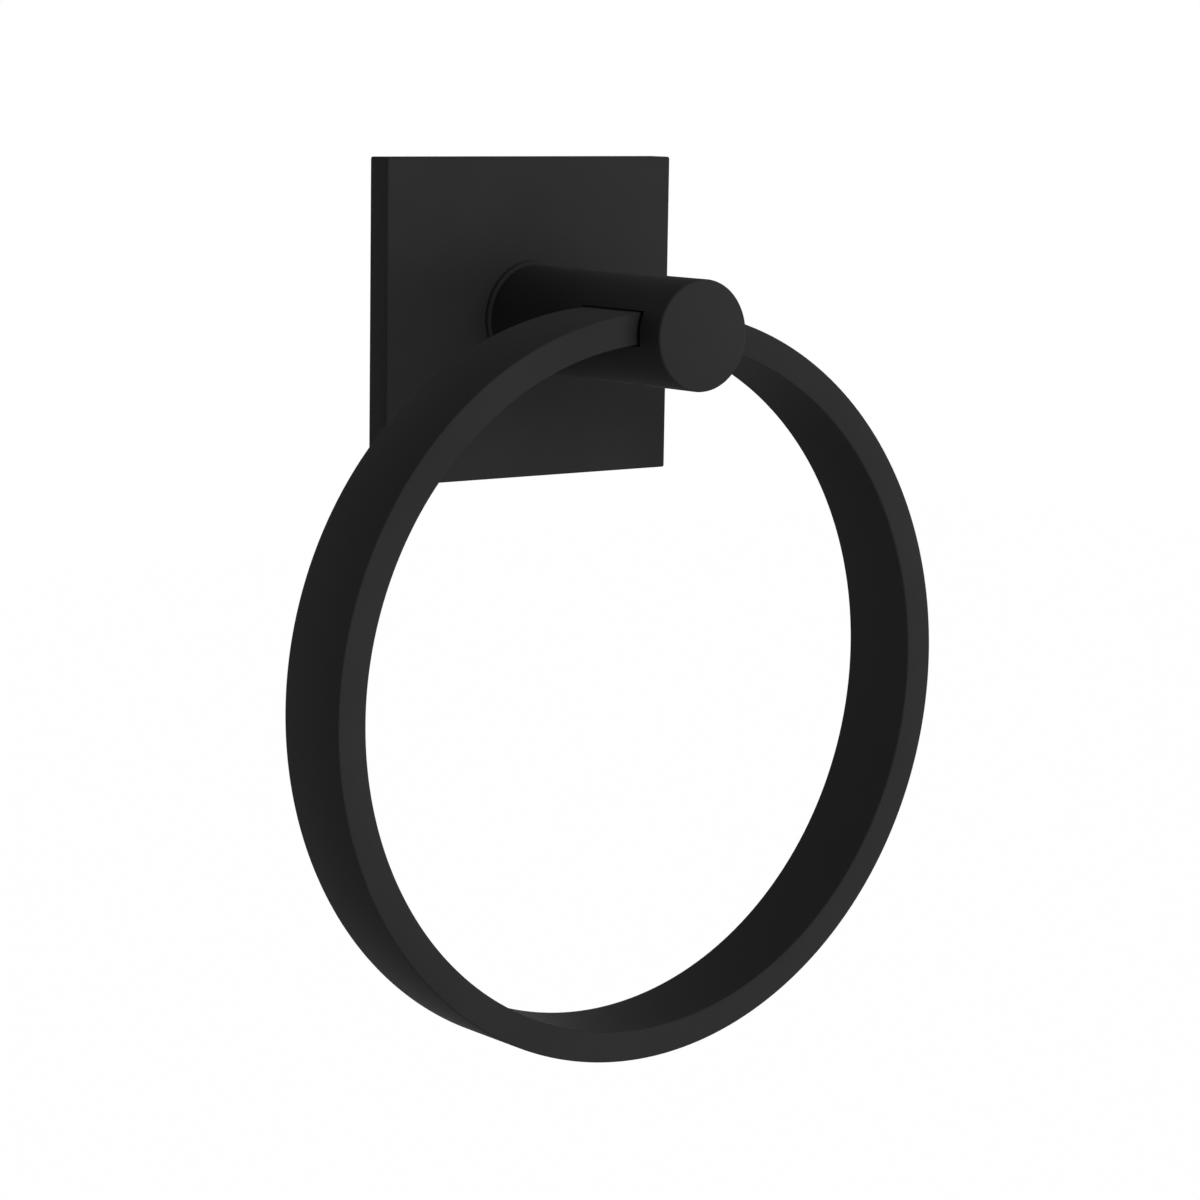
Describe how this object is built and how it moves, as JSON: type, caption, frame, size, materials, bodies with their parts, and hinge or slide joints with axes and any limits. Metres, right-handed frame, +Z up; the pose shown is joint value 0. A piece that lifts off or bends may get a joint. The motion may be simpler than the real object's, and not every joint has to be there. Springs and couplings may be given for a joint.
{
  "type": "towel ring",
  "caption": "Matt black towel ring: a round ring of flat bar held in a slot near the end of a round post on a plain rectangular wall plate.",
  "frame": {"origin": "centre of the wall plate's back, on the wall, on the post's axis and midway between the two wall screw slots", "axes": "+Z up, front towards -Y, +Y into the wall, +X to the right as seen from the front"},
  "size_m": [0.1366, 0.0558, 0.1624],
  "materials": {
    "black_metal": "matt",
    "bracket_steel": "satin",
    "fastener_steel": "satin"
  },
  "bodies": {
    "root": {"wall_plate": "black_metal", "wall_bracket": "bracket_steel", "catch_screw": "fastener_steel", "post_collar": "black_metal", "post": "black_metal", "post_bolt": "fastener_steel", "spring_washer": "fastener_steel", "towel_ring": "black_metal", "ring_lock_screw": "fastener_steel"}
  },
  "joints": []
}
